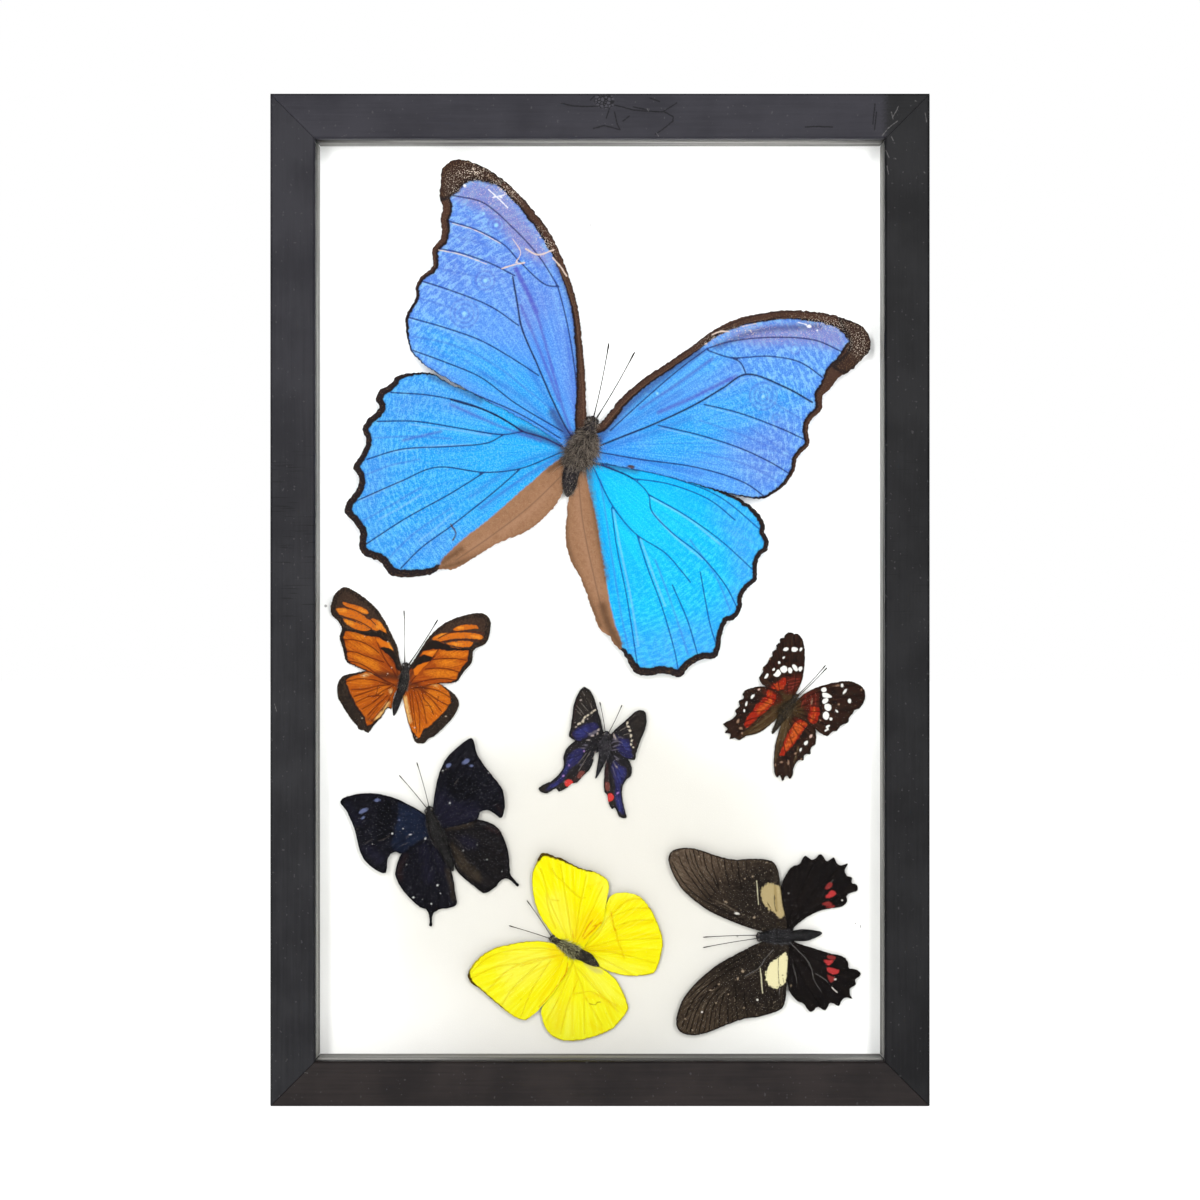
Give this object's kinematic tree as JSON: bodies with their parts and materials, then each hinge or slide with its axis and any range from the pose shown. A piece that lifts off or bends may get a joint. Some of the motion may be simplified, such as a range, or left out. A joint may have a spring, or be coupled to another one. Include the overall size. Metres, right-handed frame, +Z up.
{
  "type": "framed butterfly specimens",
  "caption": "Upright black shadow-box frame with butterflies of several kinds and colours mounted behind glass on a white board, and a sawtooth hanger on the back.",
  "frame": {"origin": "centre of the frame's flat back face, which lies against the wall", "axes": "+Z up along the frame's long side, -Y out of the frame's front, +X to the right seen from the front"},
  "size_m": [0.198, 0.0239, 0.304],
  "materials": {
    "black_wood": "black paint, satin, worn",
    "spacer_strip": "matte",
    "glass": "clear",
    "white_board": "matte",
    "back_panel": "plain hardboard",
    "steel": "zinc plated",
    "dark_body": "fine hair",
    "iridescent_blue_wing": "iridescent satin",
    "orange_wing": "satin",
    "blue_black_wing": "satin",
    "white_spotted_wing": "matte",
    "black_wing": "satin",
    "yellow_wing": "matte",
    "cream_patched_wing": "matte"
  },
  "bodies": {
    "root": {"frame_top": "black_wood", "frame_bottom": "black_wood", "frame_left": "black_wood", "frame_right": "black_wood", "spacer_top": "spacer_strip", "spacer_bottom": "spacer_strip", "spacer_left": "spacer_strip", "spacer_right": "spacer_strip", "glass": "glass", "white_board": "white_board", "back_panel": "back_panel", "hanger": "steel", "hanger_nail_left": "steel", "hanger_nail_right": "steel", "morpho_body": "dark_body", "morpho_forewing_left": "iridescent_blue_wing", "morpho_forewing_right": "iridescent_blue_wing", "morpho_hindwing_left": "iridescent_blue_wing", "morpho_hindwing_right": "iridescent_blue_wing", "longwing_body": "dark_body", "longwing_forewing_left": "orange_wing", "longwing_forewing_right": "orange_wing", "longwing_hindwing_left": "orange_wing", "longwing_hindwing_right": "orange_wing", "metalmark_body": "dark_body", "metalmark_forewing_left": "blue_black_wing", "metalmark_forewing_right": "blue_black_wing", "metalmark_hindwing_left": "blue_black_wing", "metalmark_hindwing_right": "blue_black_wing", "peacock_body": "dark_body", "peacock_forewing_left": "white_spotted_wing", "peacock_forewing_right": "white_spotted_wing", "peacock_hindwing_left": "white_spotted_wing", "peacock_hindwing_right": "white_spotted_wing", "leafwing_body": "dark_body", "leafwing_forewing_left": "black_wing", "leafwing_forewing_right": "black_wing", "leafwing_hindwing_left": "black_wing", "leafwing_hindwing_right": "black_wing", "sulphur_body": "dark_body", "sulphur_forewing_left": "yellow_wing", "sulphur_forewing_right": "yellow_wing", "sulphur_hindwing_left": "yellow_wing", "sulphur_hindwing_right": "yellow_wing", "swallowtail_body": "dark_body", "swallowtail_forewing_left": "cream_patched_wing", "swallowtail_forewing_right": "cream_patched_wing", "swallowtail_hindwing_left": "cream_patched_wing", "swallowtail_hindwing_right": "cream_patched_wing"}
  },
  "joints": []
}
